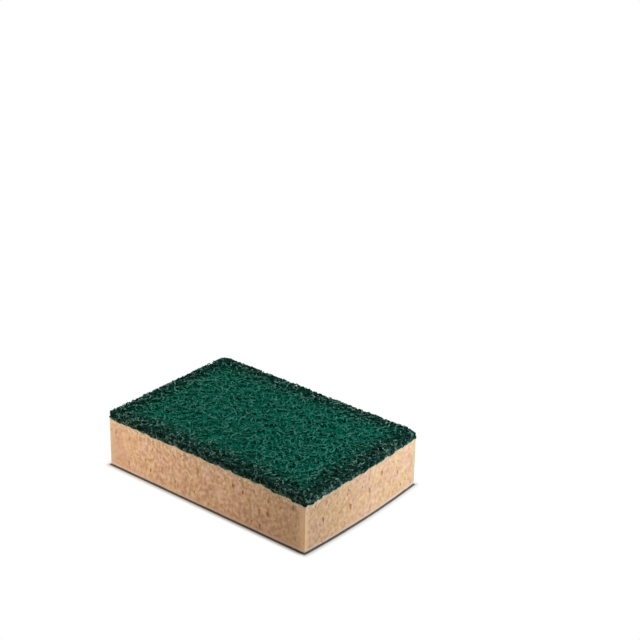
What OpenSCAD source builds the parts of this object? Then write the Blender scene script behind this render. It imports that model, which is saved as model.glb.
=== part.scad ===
// Cleaning sponge: a sawn block of open-celled foam with a fibre scouring pad glued to its top face.
// X runs along the length, Y across the width and Z up. The origin is the middle of the foam's base.

/* [Foam block] */
// Length of the foam block
block_l = 150; // [120:1:180]
// Width of the foam block
block_w = 100; // [80:1:120]
// Height of the foam block, from its base to the glued face
block_h = 30; // [20:0.5:40]
// Radius of the four upright corners, where two saw cuts meet
corner_r = 1; // [0.4:0.1:2]

/* [Open cells] */
// Distance between neighbouring cells on a sawn face
cell_pitch = 9; // [7:0.5:12]
// Diameter of the smallest cell
cell_small_d = 1.1; // [0.8:0.1:1.6]
// Diameter of the largest cell
cell_large_d = 3.4; // [2:0.1:4]
// Solid rim between the outermost cells and the edges of their face
cell_rim = 2; // [1.8:0.1:4]
// Least foam left between two neighbouring cells
cell_wall = 0.4; // [0.3:0.1:0.8]
// Diameter above which a cell has burst into a smaller one beside it
burst_d = 1.9; // [1.4:0.1:3]
// Seed that scatters the cells
cell_seed = 21; // [1:1:99]

/* [Scouring pad] */
// Thickness of the pad at its highest, clear of its edges
pad_t = 6.5; // [4:0.25:8]
// Thickness of the pad at its cut edge, where the shear pinched it
pad_edge_t = 6; // [3:0.25:6.5]
// Width of the border over which the pad's top rolls down to its edge
pad_roll = 4; // [3:0.5:12]
// Step from the foam's side in to the pad's cut edge
pad_inset = 0.2; // [0:0.1:2]
// Corner radius of the pad, seen from above
pad_corner_r = 1.5; // [1.5:0.5:6]
// How far the cut fibre ends wander in from the pad's outline
pad_fray = 0.6; // [0.1:0.1:1]

/* [Fibre web] */
// Distance between the points that carry the web's relief
web_pitch = 2.2; // [2.1:0.1:4]
// Distance from one matted curl of fibres to the next
curl_pitch = 5; // [4:0.5:10]
// Height of a curl above the hollow beside it
curl_h = 1.3; // [0.3:0.1:1.5]
// Distance from one broad swell of the web to the next
swell_pitch = 30; // [20:1:50]
// Height of a broad swell
swell_h = 0.6; // [0:0.1:1]
// Seed that shapes the web
web_seed = 7; // [1:1:99]

/* [Hidden] */
foam_colour = "burlywood";
pad_colour = "darkgreen";
$fn = 32;
// The pad's outline follows the block's, less the step at its edge.
pad_l = block_l - 2 * pad_inset;
pad_w = block_w - 2 * pad_inset;
// The higher this power, the rarer the large cells.
rarity = 3;
// A burst cell opens into a neighbour of this share of its size, this share of its radius away.
burst_share = 0.66;
burst_reach = 0.9;
// Most and least depth of a cell's centre below the sawn face, as shares of its radius.
deepest = 0.55;
shallowest = -0.3;
// Cells along and across the web.
web_nx = round(pad_l / web_pitch);
web_ny = round(pad_w / web_pitch);
// The web's relief is worked out from a square table of random heights, repeated as needed.
table_n = 40;
curl_table = rands(0, 1, table_n * table_n, web_seed);
swell_table = rands(0, 1, table_n * table_n, web_seed + 1);
fray_table = rands(0, 1, table_n * table_n, web_seed + 2);

// Smooth noise

function table_at(table, i, j) = table[(i % table_n) * table_n + j % table_n];

function ease(u) = u * u * (3 - 2 * u);

function mix(a, b, u) = a + (b - a) * u;

// Noise from 0 to 1 whose hills lie one unit apart, for x and y of 0 or more.
function noise(table, x, y) =
    let (
        i = floor(x),
        j = floor(y),
        u = ease(x - i),
        v = ease(y - j),
        near = mix(table_at(table, i, j), table_at(table, i + 1, j), u),
        far = mix(table_at(table, i, j + 1), table_at(table, i + 1, j + 1), u)
    )
    mix(near, far, v);

// Winding crests of height 1, where the noise passes through its middle value.
function crest(x, y) = 1 - abs(2 * noise(curl_table, x, y) - 1);

// Foam block

function cell_radius(share) = mix(cell_small_d, cell_large_d, pow(share, rarity)) / 2;

// How far a cell reaches sideways from its centre, with the smaller cell that it has burst into.
function cell_reach(r) = 2 * r > burst_d ? r * (burst_reach + burst_share) : r;

// One cell of a sawn face: where its centre lies in its own plot, how deep, its radius and its heading.
function cell_in_plot(plot_u, plot_v, random) =
    let (
        r = cell_radius(random[0]),
        keep = cell_reach(r) + cell_wall / 2,
        free_u = max(0, plot_u / 2 - keep),
        free_v = max(0, plot_v / 2 - keep)
    )
    [mix(-free_u, free_u, random[1]), mix(-free_v, free_v, random[2]), r, random[3]];

module cell(r, depth_share, heading) {
    translate([0, 0, -r * mix(shallowest, deepest, depth_share)]) {
        sphere(r);
        if (2 * r > burst_d)
            rotate(heading)
                translate([r * burst_reach, 0, 0])
                    sphere(r * burst_share);
    }
}

// The cells of one sawn face, which lies in the XY plane with the foam below it.
module sawn_face_cells(span_u, span_v, seed) {
    field_u = span_u - 2 * cell_rim;
    field_v = span_v - 2 * cell_rim;
    // An even count along the face keeps a cell from its middle.
    count_u = 2 * max(1, round(field_u / cell_pitch / 2));
    count_v = max(1, round(field_v / cell_pitch));
    plot_u = field_u / count_u;
    plot_v = field_v / count_v;
    for (i = [0 : count_u - 1], j = [0 : count_v - 1]) {
        random = rands(0, 1, 5, seed + i * count_v + j);
        place = cell_in_plot(plot_u, plot_v, random);
        translate([
            (i + 0.5) * plot_u - field_u / 2 + place[0],
            (j + 0.5) * plot_v - field_v / 2 + place[1],
            0
        ])
            cell(place[2], random[4], 360 * place[3]);
    }
}

module sawn_block() {
    linear_extrude(block_h)
        union() {
            square([block_l - 2 * corner_r, block_w], center = true);
            square([block_l, block_w - 2 * corner_r], center = true);
            for (x = [-1, 1], y = [-1, 1])
                translate([x * (block_l / 2 - corner_r), y * (block_w / 2 - corner_r)])
                    circle(corner_r);
        }
}

module foam_block() {
    color(foam_colour)
        difference() {
            sawn_block();
            // base
            rotate([180, 0, 0])
                sawn_face_cells(block_l, block_w, cell_seed * 1000);
            // long sides
            for (side = [0, 1])
                rotate(180 * side)
                    translate([0, -block_w / 2, block_h / 2])
                        rotate([90, 0, 0])
                            sawn_face_cells(block_l, block_h, (cell_seed + side + 1) * 1000);
            // ends
            for (side = [0, 1])
                rotate(90 + 180 * side)
                    translate([0, -block_l / 2, block_h / 2])
                        rotate([90, 0, 0])
                            sawn_face_cells(block_w, block_h, (cell_seed + side + 3) * 1000);
        }
}

// Scouring pad

// Bends the square corner of a grid into a round one: x and y are measured from the pad's middle.
function round_corner(x, y) =
    let (
        a = (abs(x) - pad_l / 2) / pad_corner_r + 1,
        b = (abs(y) - pad_w / 2) / pad_corner_r + 1
    )
    a <= 0 || b <= 0 ? [x, y] : [
        sign(x) * (pad_l / 2 - pad_corner_r + pad_corner_r * a * sqrt(1 - b * b / 2)),
        sign(y) * (pad_w / 2 - pad_corner_r + pad_corner_r * b * sqrt(1 - a * a / 2))
    ];

// A point of the web's grid, seen from above.
function web_xy(i, j) = round_corner(pad_l * (i / web_nx - 0.5), pad_w * (j / web_ny - 0.5));

// Distance from a point in to the pad's outline.
function edge_distance(p) =
    let (
        qx = abs(p[0]) - pad_l / 2 + pad_roll,
        qy = abs(p[1]) - pad_w / 2 + pad_roll
    )
    pad_roll - norm([max(qx, 0), max(qy, 0)]) - min(max(qx, qy), 0);

// Height of the web above the glued face, before its relief: a round roll down to the cut edge.
function rolled_height(p) =
    let (share = 1 - min(1, max(0, edge_distance(p) / pad_roll)))
    pad_edge_t + (pad_t - pad_edge_t) * sqrt(1 - share * share);

// Height of the web's top, with its curls and swells, above the glued face.
function web_height(p) =
    let (
        x = p[0] + block_l,
        y = p[1] + block_w,
        hollow = 1 - crest(x / curl_pitch, y / curl_pitch),
        dip = 1 - noise(swell_table, x / swell_pitch, y / swell_pitch)
    )
    rolled_height(p) - curl_h * hollow - swell_h * dip;

// The grid's outline as steps [i, j], once round anticlockwise.
outline = [
    for (i = [0 : web_nx - 1]) [i, 0],
    for (j = [0 : web_ny - 1]) [web_nx, j],
    for (i = [0 : web_nx - 1]) [web_nx - i, web_ny],
    for (j = [0 : web_ny - 1]) [0, web_ny - j]
];
outline_n = len(outline);

// Heights of the cut edge's rings, as shares of the web's height there: the glued face first.
ring_shares = [0, 0.35, 0.7];
ring_n = len(ring_shares);

// A point of the outline moved in towards the middle by the fray.
function frayed(k, ring) =
    let (
        step = outline[k],
        p = web_xy(step[0], step[1]),
        in = pad_fray * table_at(fray_table, k, ring),
        inner = [pad_l / 2 - pad_corner_r, pad_w / 2 - pad_corner_r],
        foot = [sign(p[0]) * min(abs(p[0]), inner[0]), sign(p[1]) * min(abs(p[1]), inner[1])]
    )
    p + in * (foot - p) / norm(foot - p);

function on_outline(i, j) = i == 0 || j == 0 || i == web_nx || j == web_ny;

// Where a grid point of the outline comes in the walk round it.
function outline_index(i, j) =
    j == 0 && i < web_nx ? i :
    i == web_nx && j < web_ny ? web_nx + j :
    j == web_ny && i > 0 ? 2 * web_nx + web_ny - i :
    2 * web_nx + 2 * web_ny - j;

function web_top_point(i, j) =
    let (
        p = web_xy(i, j),
        edge = on_outline(i, j) ? frayed(outline_index(i, j), ring_n) : p
    )
    [edge[0], edge[1], web_height(p)];

function web_ring_point(k, ring) =
    let (
        step = outline[k],
        edge = frayed(k, ring),
        height = web_height(web_xy(step[0], step[1]))
    )
    [edge[0], edge[1], ring_shares[ring] * height];

web_points = concat(
    [for (j = [0 : web_ny], i = [0 : web_nx]) web_top_point(i, j)],
    [for (ring = [0 : ring_n - 1], k = [0 : outline_n - 1]) web_ring_point(k, ring)],
    [[0, 0, 0]]
);
top_n = (web_nx + 1) * (web_ny + 1);
middle_index = top_n + ring_n * outline_n;

function top_index(i, j) = j * (web_nx + 1) + i;

// Index of a ring's point. The ring above the last one is the rim of the top.
function ring_index(k, ring) =
    let (turn = k % outline_n, step = outline[turn])
    ring < ring_n ? top_n + ring * outline_n + turn : top_index(step[0], step[1]);

web_faces = concat(
    [
        for (j = [0 : web_ny - 1], i = [0 : web_nx - 1], half = [0, 1])
            half == 0
                ? [top_index(i, j), top_index(i, j + 1), top_index(i + 1, j + 1)]
                : [top_index(i, j), top_index(i + 1, j + 1), top_index(i + 1, j)]
    ],
    [
        for (ring = [0 : ring_n - 1], k = [0 : outline_n - 1], half = [0, 1])
            half == 0
                ? [ring_index(k, ring), ring_index(k, ring + 1), ring_index(k + 1, ring + 1)]
                : [ring_index(k, ring), ring_index(k + 1, ring + 1), ring_index(k + 1, ring)]
    ],
    [for (k = [0 : outline_n - 1]) [middle_index, ring_index(k, 0), ring_index(k + 1, 0)]]
);

module scouring_pad() {
    color(pad_colour)
        translate([0, 0, block_h])
            polyhedron(web_points, web_faces, convexity = 6);
}

foam_block();
scouring_pad();
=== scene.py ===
"""Looks of a cleaning sponge: a sawn block of open-celled foam under a mat of curly, resin-bonded fibres.

Lengths are in metres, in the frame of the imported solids, which give each piece its size and place. The
shaders of the two pieces work in millimetres.
"""

import logging
import math
from dataclasses import dataclass, replace
from enum import Enum
from typing import Any, Callable, ClassVar, Iterable, Mapping, Optional, Sequence, Union

import bpy
import numpy as np
from mathutils import Matrix, Quaternion, Vector

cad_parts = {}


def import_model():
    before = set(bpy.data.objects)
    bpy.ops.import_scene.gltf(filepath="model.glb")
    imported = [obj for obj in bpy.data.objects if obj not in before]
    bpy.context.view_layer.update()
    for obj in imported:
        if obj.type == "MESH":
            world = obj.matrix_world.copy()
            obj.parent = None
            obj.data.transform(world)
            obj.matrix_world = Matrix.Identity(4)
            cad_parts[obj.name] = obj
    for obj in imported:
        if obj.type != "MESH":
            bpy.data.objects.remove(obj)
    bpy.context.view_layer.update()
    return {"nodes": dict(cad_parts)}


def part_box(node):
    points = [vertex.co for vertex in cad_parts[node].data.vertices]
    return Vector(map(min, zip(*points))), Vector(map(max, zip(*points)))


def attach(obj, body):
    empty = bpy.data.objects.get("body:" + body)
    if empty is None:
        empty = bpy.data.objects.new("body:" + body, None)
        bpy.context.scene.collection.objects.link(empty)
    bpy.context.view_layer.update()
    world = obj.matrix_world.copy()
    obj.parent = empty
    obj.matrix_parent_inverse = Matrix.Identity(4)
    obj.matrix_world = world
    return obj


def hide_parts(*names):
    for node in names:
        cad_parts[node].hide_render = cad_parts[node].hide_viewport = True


LOG = logging.getLogger("sponge")
MM = 0.001
FULL_TURN = 2 * math.pi

Colour = tuple[float, float, float]
Triple = tuple[float, float, float]
Span = tuple[float, ...]
Inputs = Optional[Mapping[str, Any]]


def paint(red: int, green: int, blue: int) -> Colour:
    """Turns a colour as a screen shows it, from 0 to 255, into the linear colour that a shader takes.

    Args:
        red: Share of red.
        green: Share of green.
        blue: Share of blue.

    Returns:
        The linear red, green and blue, from 0 to 1.
    """
    def linear(value: int) -> float:
        """Undoes the screen's own curve for one channel."""
        share = value / 255
        return share / 12.92 if share <= 0.04045 else ((share + 0.055) / 1.055) ** 2.4

    return linear(red), linear(green), linear(blue)


def arithmetic(operation: str, swapped: bool = False) -> Callable[["Field", "Value"], "Field"]:
    """Makes one of a Field's operators.

    Args:
        operation: Blender's name for the operation.
        swapped: Whether the other value stands on the left.

    Returns:
        The operator, as a method of Field.
    """
    def work_out(self: "Field", other: "Value") -> "Field":
        """Works out the operation on this value and another one."""
        values = (other, self) if swapped else (self, other)
        return self.graph.maths(operation, *values)

    return work_out


class Field:
    """A value that varies over a piece, as it leaves a node, for use in Python's own arithmetic."""

    __add__ = arithmetic("ADD")
    __sub__ = arithmetic("SUBTRACT")
    __rsub__ = arithmetic("SUBTRACT", swapped=True)
    __mul__ = arithmetic("MULTIPLY")
    __truediv__ = arithmetic("DIVIDE")
    __rtruediv__ = arithmetic("DIVIDE", swapped=True)
    __gt__ = arithmetic("GREATER_THAN")

    def __init__(self, graph: "Graph", socket: bpy.types.NodeSocket) -> None:
        """Takes the graph that holds the node, and the node's output socket."""
        self.graph = graph
        self.socket = socket

    def __abs__(self) -> "Field":
        """Drops the sign."""
        return self.graph.maths("ABSOLUTE", self)

    @property
    def is_vector(self) -> bool:
        """Whether the value has three parts, as a place or a colour does."""
        return self.socket.type in ("VECTOR", "RGBA")


Value = Union[Field, float, int, Sequence[float]]


class Graph:
    """A node tree under construction, for a material or for geometry."""

    def __init__(self, tree: bpy.types.NodeTree) -> None:
        """Takes the tree that the nodes go into."""
        self.tree = tree
        self.given: Optional[bpy.types.Node] = None

    @classmethod
    def for_geometry(cls, name: str, start: str, values: Mapping[str, Any]) -> "Graph":
        """Starts a geometry tree.

        Args:
            name: What the tree makes.
            start: Name of the input that takes the mesh to start from.
            values: A value for each further input, by name, which says what kind of socket it needs.

        Returns:
            The graph, with a Geometry output.
        """
        kinds = {float: "Float", int: "Int", bpy.types.Object: "Object", bpy.types.Material: "Material"}
        tree = bpy.data.node_groups.new(name, "GeometryNodeTree")
        tree.interface.new_socket(name=start, in_out="INPUT", socket_type="NodeSocketGeometry")
        for label, value in values.items():
            kind = next(kind for accepted, kind in kinds.items() if isinstance(value, accepted))
            tree.interface.new_socket(name=label, in_out="INPUT", socket_type=f"NodeSocket{kind}")
        tree.interface.new_socket(name="Geometry", in_out="OUTPUT", socket_type="NodeSocketGeometry")
        graph = cls(tree)
        graph.given = graph.node("NodeGroupInput")
        return graph

    def read(self, name: str) -> Field:
        """Reads one of a geometry tree's own inputs."""
        return self.out(self.given, name)

    def node(self, kind: str, inputs: Inputs = None, **settings: Any) -> bpy.types.Node:
        """Adds a node.

        Args:
            kind: Blender's name for this kind of node.
            inputs: Value or field for each input, by the input's name.
            **settings: The node's own properties.

        Returns:
            The new node.
        """
        made = self.tree.nodes.new(kind)
        for name, value in settings.items():
            setattr(made, name, value)
        for name, value in (inputs or {}).items():
            self.feed(next(s for s in made.inputs if s.enabled and s.name == name), value)
        return made

    def feed(self, socket: bpy.types.NodeSocket, value: Any) -> None:
        """Links a field to an input socket, or sets the socket's own value."""
        if isinstance(value, Field):
            self.tree.links.new(value.socket, socket)
        else:
            socket.default_value = value

    def out(self, made: bpy.types.Node, name: str) -> Field:
        """Gives the named output of a node as a field."""
        return Field(self, next(s for s in made.outputs if s.enabled and s.name == name))

    def field(self, kind: str, output: str, inputs: Inputs = None, **settings: Any) -> Field:
        """Adds a node and gives one of its outputs: see node() for the arguments."""
        return self.out(self.node(kind, inputs, **settings), output)

    def maths(self, operation: str, *values: Value) -> Field:
        """Works out one operation on numbers or on vectors.

        Args:
            operation: Blender's name for the operation.
            *values: What it works on.

        Returns:
            The result.
        """
        plain = (int, float)
        vector = any(v.is_vector if isinstance(v, Field) else not isinstance(v, plain) for v in values)
        made = self.tree.nodes.new("ShaderNodeVectorMath" if vector else "ShaderNodeMath")
        made.operation = operation
        for socket, value in zip(made.inputs, values):
            self.feed(socket, (value,) * 3 if vector and isinstance(value, plain) else value)
        return Field(self, made.outputs["Vector" if vector else "Value"])

    def larger(self, first: Value, second: Value) -> Field:
        """Gives the larger of two values."""
        return self.maths("MAXIMUM", first, second)

    def smaller(self, first: Value, second: Value) -> Field:
        """Gives the smaller of two values."""
        return self.maths("MINIMUM", first, second)

    def length(self, x: Field, y: Field) -> Field:
        """Gives the length of a flat vector."""
        return self.maths("SQRT", x * x + y * y)

    def combine(self, x: Value, y: Value, z: Value) -> Field:
        """Makes a vector of three numbers."""
        return self.field("ShaderNodeCombineXYZ", "Vector", {"X": x, "Y": y, "Z": z})

    def parts(self, vector: Field) -> tuple[Field, Field, Field]:
        """Splits a vector into its three numbers."""
        made = self.node("ShaderNodeSeparateXYZ", {"Vector": vector})
        return self.out(made, "X"), self.out(made, "Y"), self.out(made, "Z")

    def ramp(self, value: Field, start: float, end: float, low: Value = 0.0, high: Value = 1.0) -> Field:
        """Eases from low to high as a value goes from start to end, and holds them outside."""
        return self.field("ShaderNodeMapRange", "Result", {
            "Value": value, "From Min": start, "From Max": end, "To Min": low, "To Max": high,
        }, interpolation_type="SMOOTHSTEP")

    def noise(self, place: Field, period: float, detail: float = 0.0, output: str = "Fac") -> Field:
        """Smooth chance from 0 to 1, with one hill in each period, in the unit of the place."""
        return self.field("ShaderNodeTexNoise", output, {
            "Vector": place, "Scale": 1 / period, "Detail": detail,
        })

    def cells(self, place: Field, period: float) -> tuple[Field, Field]:
        """Packs space with cells.

        Args:
            place: Where to look.
            period: Distance from one cell to the next, in the unit of the place.

        Returns:
            How far the place is from its cell's middle, in periods, and a chance number for the cell.
        """
        made = self.node("ShaderNodeTexVoronoi", {"Vector": place, "Scale": 1 / period})
        return self.out(made, "Distance"), self.parts(self.out(made, "Color"))[0]

    def millimetres(self) -> Field:
        """Gives the place that is shaded, in the piece's own frame."""
        return self.field("ShaderNodeTexCoord", "Object") * (1 / MM)

    def blend(self, share: Value, first: Value, second: Value) -> Field:
        """Blends from a first colour to a second, as the share goes from 0 to 1."""
        def rgba(value: Value) -> Any:
            """Gives a plain colour its fourth number."""
            return value if isinstance(value, Field) else (*value, 1.0)

        return self.field("ShaderNodeMix", "Result", {
            "Factor": share, "A": rgba(first), "B": rgba(second),
        }, data_type="RGBA")

    def coated(self, base: Value, *coats: tuple[Field, Value]) -> Value:
        """Lays coats over a base colour, each of them a share from 0 to 1 and a colour."""
        for share, colour in coats:
            base = self.blend(share, base, colour)
        return base

    def position(self) -> Field:
        """Gives the place of each point of a geometry."""
        return self.field("GeometryNodeInputPosition", "Position")

    def chance(self, low: Value, high: Value, seed: Field, kind: str = "FLOAT", **more: Field) -> Field:
        """Draws a value for each point.

        Args:
            low: Lowest value.
            high: Highest value.
            seed: Seed of the draw.
            kind: Blender's name for the kind of value.
            **more: Further inputs of the draw.

        Returns:
            The values.
        """
        return self.field("FunctionNodeRandomValue", "Value", {
            "Min": low, "Max": high, "Seed": seed, **more,
        }, data_type=kind)

    def then(self, kind: str, geometry: Field, inputs: Inputs = None, **settings: Any) -> Field:
        """Changes a geometry by one node, whose kind lacks the common first word: see node()."""
        given = {"Geometry": geometry, **(inputs or {})}
        return self.field(f"GeometryNode{kind}", "Geometry", given, **settings)

    def join(self, geometries: Iterable[Field]) -> Field:
        """Joins several geometries."""
        joined = self.node("GeometryNodeJoinGeometry")
        for geometry in geometries:
            self.tree.links.new(geometry.socket, joined.inputs["Geometry"])
        return self.out(joined, "Geometry")

    def finish(self, geometry: Field, material: str) -> None:
        """Ends a geometry tree with real geometry in the material that the named input gives."""
        real = self.then("RealizeInstances", geometry)
        made = self.then("SetMaterial", real, {"Material": self.read(material)})
        self.node("NodeGroupOutput", {"Geometry": made})


@dataclass(frozen=True)
class Plan:
    """A point seen from above, over a rectangle with half lengths, and how many of its units make a metre."""

    graph: Graph
    x: Field
    y: Field
    half_x: Value
    half_y: Value
    unit: float = 1.0

    @classmethod
    def in_tree(cls, graph: Graph, x: Field, y: Field) -> "Plan":
        """Takes the half lengths from the inputs of a geometry tree."""
        return cls(graph, x, y, graph.read("Half length"), graph.read("Half width"))

    def inside(self) -> Field:
        """Gives how far the point lies inside the nearest side of the rectangle."""
        return self.graph.smaller(self.half_x - abs(self.x), self.half_y - abs(self.y))


@dataclass(frozen=True)
class Droop:
    """A corner where something hangs low: the signs of its X and Y, how much, and from how far in."""

    side_x: int
    side_y: int
    depth: float
    reach: float

    def at(self, plan: Plan) -> Field:
        """Gives how far it hangs at a point, in the point's unit."""
        short_x = plan.half_x - plan.x * float(self.side_x)
        short_y = plan.half_y - plan.y * float(self.side_y)
        away = plan.graph.length(short_x, short_y)
        return plan.graph.ramp(away, 0.0, self.reach * plan.unit, self.depth * plan.unit, 0.0)


@dataclass(frozen=True)
class Swell:
    """How far the end at greatest X bulges: most at the middle of its width, and nothing at its corners."""

    depth: float = 1.8 * MM

    def at(self, plan: Plan) -> Field:
        """Gives how far a point moves out with the bulge, in the point's unit."""
        across = plan.y / plan.half_y
        along = plan.graph.larger(plan.x / plan.half_x, 0.0)
        return (1 - across * across) * along * (self.depth * plan.unit)

    def beside(self, x: float, y: float, half_x: float, half_y: float) -> float:
        """Works out the same for a point given as plain numbers, in metres."""
        return (1 - (y / half_y) ** 2) * max(x / half_x, 0.0) * self.depth


@dataclass(frozen=True)
class HangingRim:
    """The end of the pad's cut edge: scalloped, lower at one corner, and met by the foam's raised lip."""

    lip: float = 2.2 * MM
    rise: float = 1.45 * MM
    scallop: float = 3.6 * MM
    period: float = 4.6 * MM
    sag: Droop = Droop(1, -1, 1.5 * MM, 34 * MM)

    def below(self, plan: Plan) -> Field:
        """Gives how far below the seam the edge ends, in the point's unit."""
        flat = plan.graph.combine(plan.x, plan.y, 0.0)
        wave = plan.graph.noise(flat, self.period * plan.unit, 1.0) - 0.5
        line = self.sag.at(plan) - self.rise * plan.unit - wave * (self.scallop * plan.unit)
        return plan.graph.larger(line, -self.lip * plan.unit)


@dataclass(frozen=True)
class Sheen:
    """How a surface takes light: roughness, mirroring, and the depth and strength of its finest relief."""

    roughness: float
    mirroring: float
    relief: float
    strength: float

    def dress(self, graph: Graph, colour: Field, relief: Field) -> bpy.types.Node:
        """Gives a surface its colour, its relief and this sheen.

        Args:
            graph: The tree of the surface.
            colour: Its colour.
            relief: Height of its finest relief.

        Returns:
            Its shader node.
        """
        shader = graph.tree.nodes["Principled BSDF"]
        normal = graph.field("ShaderNodeBump", "Normal", {
            "Height": relief, "Strength": self.strength, "Distance": self.relief,
        })
        graph.feed(shader.inputs["Base Color"], colour)
        graph.feed(shader.inputs["Normal"], normal)
        shader.inputs["Roughness"].default_value = self.roughness
        shader.inputs["Specular IOR Level"].default_value = self.mirroring
        return shader


@dataclass(frozen=True)
class Spots:
    """Spots in some cells: how they fade from the middle out, by which chance, and how strong they are."""

    fade: Span
    chosen: Span
    share: float

    def at(self, graph: Graph, distance: Field, chance: Field) -> Field:
        """Gives 1 in a spot and 0 outside it, from a place's distance and its cell's chance."""
        return graph.ramp(distance, *self.fade, 1.0, 0.0) * graph.ramp(chance, *self.chosen)


@dataclass(frozen=True)
class FoamFinish:
    """Open-celled foam, cast in peach and sawn: matt, mottled and grainy, with painted shade inside its cells,
    under the pad, near the sagging corner and towards one end, and painted highlights along its upright edges and
    its foot.

    A Span says from where to where something starts to show, as a chance value or in millimetres, and
    then between which shares, where those aren't 0 and 1.
    """

    half: Triple
    height: float
    rim: HangingRim
    swell: Swell
    rosy: Colour = paint(226, 180, 152)
    sandy: Colour = paint(229, 188, 146)
    bright: Colour = paint(250, 226, 196)
    dull: Colour = paint(166, 126, 92)
    frayed: Colour = paint(202, 203, 181)
    # Painted highlight colours of the upright edges.
    edge_highlight: Colour = paint(252, 210, 166)
    dim_edge_highlight: Colour = paint(212, 192, 162)
    crumb: Colour = paint(246, 236, 212)
    # Painted shade colour towards the end of least X.
    end_shade: Colour = paint(206, 168, 142)
    foot_highlight: Colour = paint(240, 212, 188)
    # Painted shadow of the pad's rim on the foam's lip.
    shade_under_pad: Colour = paint(8, 34, 26)
    # Painted shade inside the open cells.
    hollow: Colour = paint(224, 174, 124)
    mottle_mm: float = 12.0
    cloud_mm: float = 3.2
    sway_mm: float = 1.6
    wrinkle_mm: float = 1.9
    grain_mm: float = 2.0
    speck_mm: float = 1.1
    crumb_mm: float = 1.5
    fray_mm: float = 1.5
    tatter_mm: float = 1.3
    rise: float = 0.78
    bend_mm: float = 1.1
    crumb_bend_mm: float = 0.9
    fray_lift_mm: float = 1.6
    foot_lift_mm: float = 0.6
    mottle: Span = (0.38, 0.62)
    pale_cloud: Span = (0.5, 0.72, 0.0, 0.3)
    dull_cloud: Span = (0.5, 0.28, 0.0, 0.25)
    fold: Span = (0.5, 0.68, 0.0, 0.54)
    groove: Span = (0.46, 0.3, 0.0, 0.4)
    knob: Spots = Spots((0.1, 0.45), (0.6, 0.9), 0.58)
    pit: Spots = Spots((0.05, 0.5), (0.25, 0.05), 0.5)
    pinprick: Spots = Spots((0.05, 0.5), (0.6, 0.9), 0.24)
    pale_crumb: Spots = Spots((0.25, 0.6), (0.5, 0.3), 0.6)
    dull_crumb: Spots = Spots((0.25, 0.6), (0.5, 0.7), 0.5)
    crumbs_below_rim: Span = (2.0, 14.0, 1.0, 0.0)
    shaded_end: Span = (-50.0, -75.0, 0.0, 0.4)
    lit_corner: Span = (60.0, 100.0)
    along_edge: Span = (0.8, 4.4, 0.8, 0.0)
    end_share: float = 0.62
    tatter: Span = (0.35, 0.6, 0.4, 1.1)
    fringe: Span = (1.6, 3.6, 1.0, 0.0)
    foot: Span = (1.7, 3.4, 0.9, 0.0)
    shade_under_pad_band: Span = (-0.45, 0.35)
    in_cell: Span = (0.25, 1.3)
    off_corner: Span = (1.0, 1.8)
    onto_end: Span = (-0.5, 0.5)
    calm_end: Span = (-45.0, 0.0, 0.12, 0.48)
    calm_side: Span = (-75.0, -35.0, 0.52, 1.0)
    corner_shade_share: float = 0.34
    corner_shade_reach_mm: float = 62.0
    sheen: Sheen = Sheen(roughness=0.92, mirroring=0.2, relief=0.06 * MM, strength=0.8)

    def make(self) -> bpy.types.Material:
        """Builds the material.

        Returns:
            A material that reads only the piece's own coordinates.
        """
        material, graph = new_surface("peach foam")
        place = graph.millimetres()
        x, y, height = graph.parts(place)
        plan = Plan(graph, x, y, self.half[0] / MM, self.half[1] / MM, 1 / MM)
        from_end = self.swell.at(plan) + plan.half_x - abs(x)
        from_side = plan.half_y - abs(y)
        above_rim = height - self.height / MM + self.rim.below(plan)

        sway = graph.noise(place, self.sway_mm, 1.0, "Color") - 0.5
        bent = (place + sway * self.bend_mm) * (1.0, 1.0, self.rise)
        wrinkle = graph.noise(bent, self.wrinkle_mm, 0.5)
        grain = graph.cells(bent, self.grain_mm)
        knob = self.knob.at(graph, *grain)
        pit = self.pit.at(graph, *grain)
        pinprick = self.pinprick.at(graph, *graph.cells(bent, self.speck_mm))
        patches = graph.ramp(graph.noise(place, self.mottle_mm, 2.0), *self.mottle)
        cloud = graph.noise(place, self.cloud_mm, 1.0)
        body = graph.coated(
            self.rosy,
            (patches, self.sandy),
            (graph.ramp(cloud, *self.pale_cloud), self.bright),
            (graph.ramp(cloud, *self.dull_cloud), self.dull),
        )
        # The grain's colour follows its relief, lighter on folds and knobs and darker in grooves, pits and
        # pinpricks: partly the foam's own grain, partly painted highlight and shade.
        grained = graph.coated(
            body,
            (graph.ramp(wrinkle, *self.fold), self.bright),
            (graph.ramp(wrinkle, *self.groove), self.dull),
            (knob * self.knob.share, self.bright),
            (pit * self.pit.share, self.dull),
            (pinprick * self.pinprick.share, self.dull),
        )

        vigour = self.vigour(plan, from_end, from_side)
        fray = graph.noise(place, self.fray_mm, 1.0)
        below_rim = fray * self.fray_lift_mm - above_rim
        tatter = graph.ramp(graph.noise(place, self.tatter_mm, 1.0), *self.tatter)
        crumb, crumb_chance = graph.cells(bent + sway * self.crumb_bend_mm, self.crumb_mm)
        torn = (crumb + (fray - 0.5) * self.crumb_bend_mm, crumb_chance)
        crumbly = vigour * graph.ramp(below_rim, *self.crumbs_below_rim)
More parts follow.
